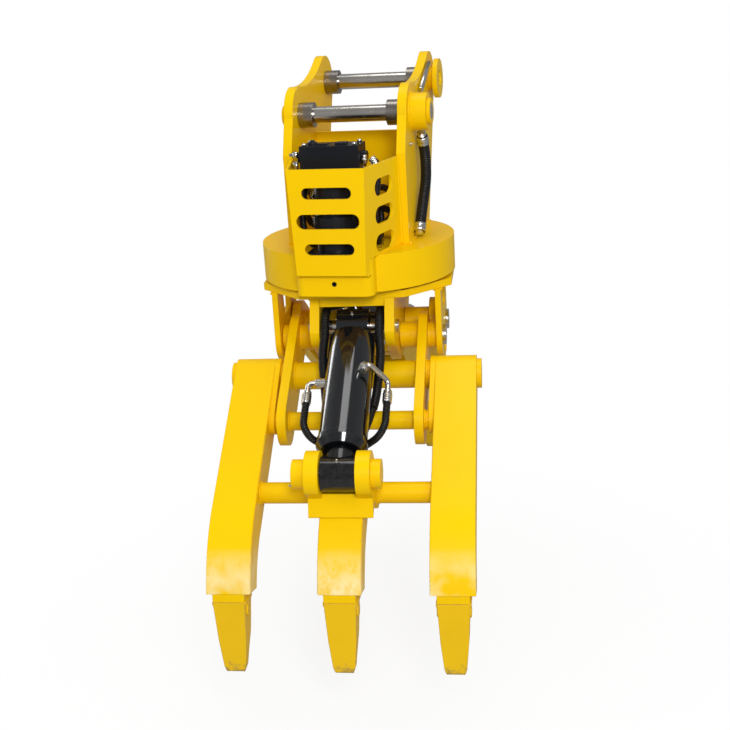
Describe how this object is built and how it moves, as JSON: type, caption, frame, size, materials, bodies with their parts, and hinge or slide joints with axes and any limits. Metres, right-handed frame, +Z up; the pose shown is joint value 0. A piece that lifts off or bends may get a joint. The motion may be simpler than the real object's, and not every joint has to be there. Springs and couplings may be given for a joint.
{
  "type": "rotating scrap grapple",
  "caption": "Hydraulic rotating scrap grapple with a pin-on hanger, slewing turntable and two opposed jaws of hollow steel tines with replaceable teeth, each closed by a cylinder.",
  "frame": {"origin": "centre of the stick pin, midway between the hanger ears", "axes": "+X along the stick pin towards the right ear, +Y towards the link pin, +Z up; the slew axis is vertical through the origin"},
  "size_m": [0.7378, 1.5498, 1.4349],
  "materials": {
    "yellow_paint": "glossy enamel",
    "dark_paint": "satin",
    "black_gloss_paint": "gloss",
    "pin_steel": "ground",
    "bearing_steel": "oiled",
    "zinc_steel": "zinc plated",
    "hose_rubber": "satin",
    "rod_chrome": "polished"
  },
  "bodies": {
    "hanger": {"ear_left": "yellow_paint", "ear_right": "yellow_paint", "ear_bosses": "yellow_paint", "pin_collars": "pin_steel", "stick_pin": "pin_steel", "link_pin": "pin_steel", "pin_locks": "yellow_paint", "cross_plate": "yellow_paint", "slew_housing": "yellow_paint", "motor_guard": "yellow_paint", "swing_motor": "dark_paint", "relief_valve_block": "dark_paint", "slew_ring_inner": "bearing_steel", "ring_bolts": "zinc_steel", "swivel_core": "dark_paint", "supply_hose": "hose_rubber"},
    "pinion": {"swing_pinion": "bearing_steel"},
    "turntable": {"slew_ring_gear": "bearing_steel", "slew_balls": "bearing_steel", "turntable_plate": "yellow_paint", "plate_bolts": "zinc_steel", "swivel_body": "dark_paint", "outer_lugs": "yellow_paint", "inner_lugs": "yellow_paint", "jaw_pins": "pin_steel", "base_pins": "pin_steel", "jaw_hoses": "hose_rubber", "swivel_ports": "zinc_steel"},
    "front_jaw": {"front_arms": "yellow_paint", "front_top_tube": "yellow_paint", "front_cross_tubes": "yellow_paint", "front_tine_left": "yellow_paint", "front_tine_right": "yellow_paint", "front_tine_centre": "yellow_paint", "front_doublers": "yellow_paint", "front_clevis": "yellow_paint", "front_rod_pin": "yellow_paint", "front_adapters": "yellow_paint", "front_teeth": "yellow_paint", "front_tooth_pins": "pin_steel"},
    "rear_jaw": {"rear_arms": "yellow_paint", "rear_top_tube": "yellow_paint", "rear_cross_tubes": "yellow_paint", "rear_tine_left": "yellow_paint", "rear_tine_right": "yellow_paint", "rear_clevis": "yellow_paint", "rear_rod_pin": "yellow_paint", "rear_adapters": "yellow_paint", "rear_teeth": "yellow_paint", "rear_tooth_pins": "pin_steel"},
    "front_cylinder_rod": {"front_rod": "rod_chrome"},
    "front_cylinder_barrel": {"front_barrel": "black_gloss_paint", "front_gland": "black_gloss_paint", "front_hoses": "hose_rubber", "front_ports": "zinc_steel"},
    "rear_cylinder_rod": {"rear_rod": "rod_chrome"},
    "rear_cylinder_barrel": {"rear_barrel": "black_gloss_paint", "rear_gland": "black_gloss_paint", "rear_hoses": "hose_rubber", "rear_ports": "zinc_steel"}
  },
  "joints": [
    {"name": "pinion_spin", "type": "hinge", "parent": "hanger", "child": "pinion", "pos_m": [0, -0.2375, -0.397], "axis": [0, 0, 1], "continuous": true},
    {"name": "slew", "type": "hinge", "parent": "hanger", "child": "turntable", "pos_m": [0, 0, -0.469], "axis": [0, 0, 1], "continuous": true},
    {"name": "front_jaw_close", "type": "hinge", "parent": "turntable", "child": "front_jaw", "pos_m": [0.00892, -0.0795, -0.616], "axis": [0.9938, 0.1115, 0], "range_deg": [0, 58], "deforming": ["jaw_hoses"]},
    {"name": "front_rod_swing", "type": "hinge", "parent": "front_jaw", "child": "front_cylinder_rod", "pos_m": [0.06967, -0.62111, -0.805], "axis": [0.9938, 0.1115, 0], "range_deg": [0, 1.2]},
    {"name": "front_cylinder_stroke", "type": "slide", "parent": "front_cylinder_rod", "child": "front_cylinder_barrel", "axis": [-0.0961, 0.8564, 0.5074], "range_m": [0, 0.13]},
    {"name": "rear_jaw_close", "type": "hinge", "parent": "turntable", "child": "rear_jaw", "pos_m": [-0.00892, 0.0795, -0.616], "axis": [-0.9938, -0.1115, 0], "range_deg": [0, 58], "deforming": ["jaw_hoses"]},
    {"name": "rear_rod_swing", "type": "hinge", "parent": "rear_jaw", "child": "rear_cylinder_rod", "pos_m": [-0.06967, 0.62111, -0.805], "axis": [-0.9938, -0.1115, 0], "range_deg": [0, 1.2]},
    {"name": "rear_cylinder_stroke", "type": "slide", "parent": "rear_cylinder_rod", "child": "rear_cylinder_barrel", "axis": [0.0961, -0.8564, 0.5074], "range_m": [0, 0.13]}
  ],
  "couplings": [
    {"joint": "pinion_spin", "follows": "slew", "ratio": -5.0769},
    {"joint": "front_rod_swing", "follows": "front_jaw_close", "ratio": 0.02},
    {"joint": "front_cylinder_stroke", "follows": "front_jaw_close", "m_per_rad": 0.1272},
    {"joint": "rear_rod_swing", "follows": "rear_jaw_close", "ratio": 0.02},
    {"joint": "rear_cylinder_stroke", "follows": "rear_jaw_close", "m_per_rad": 0.1272}
  ]
}
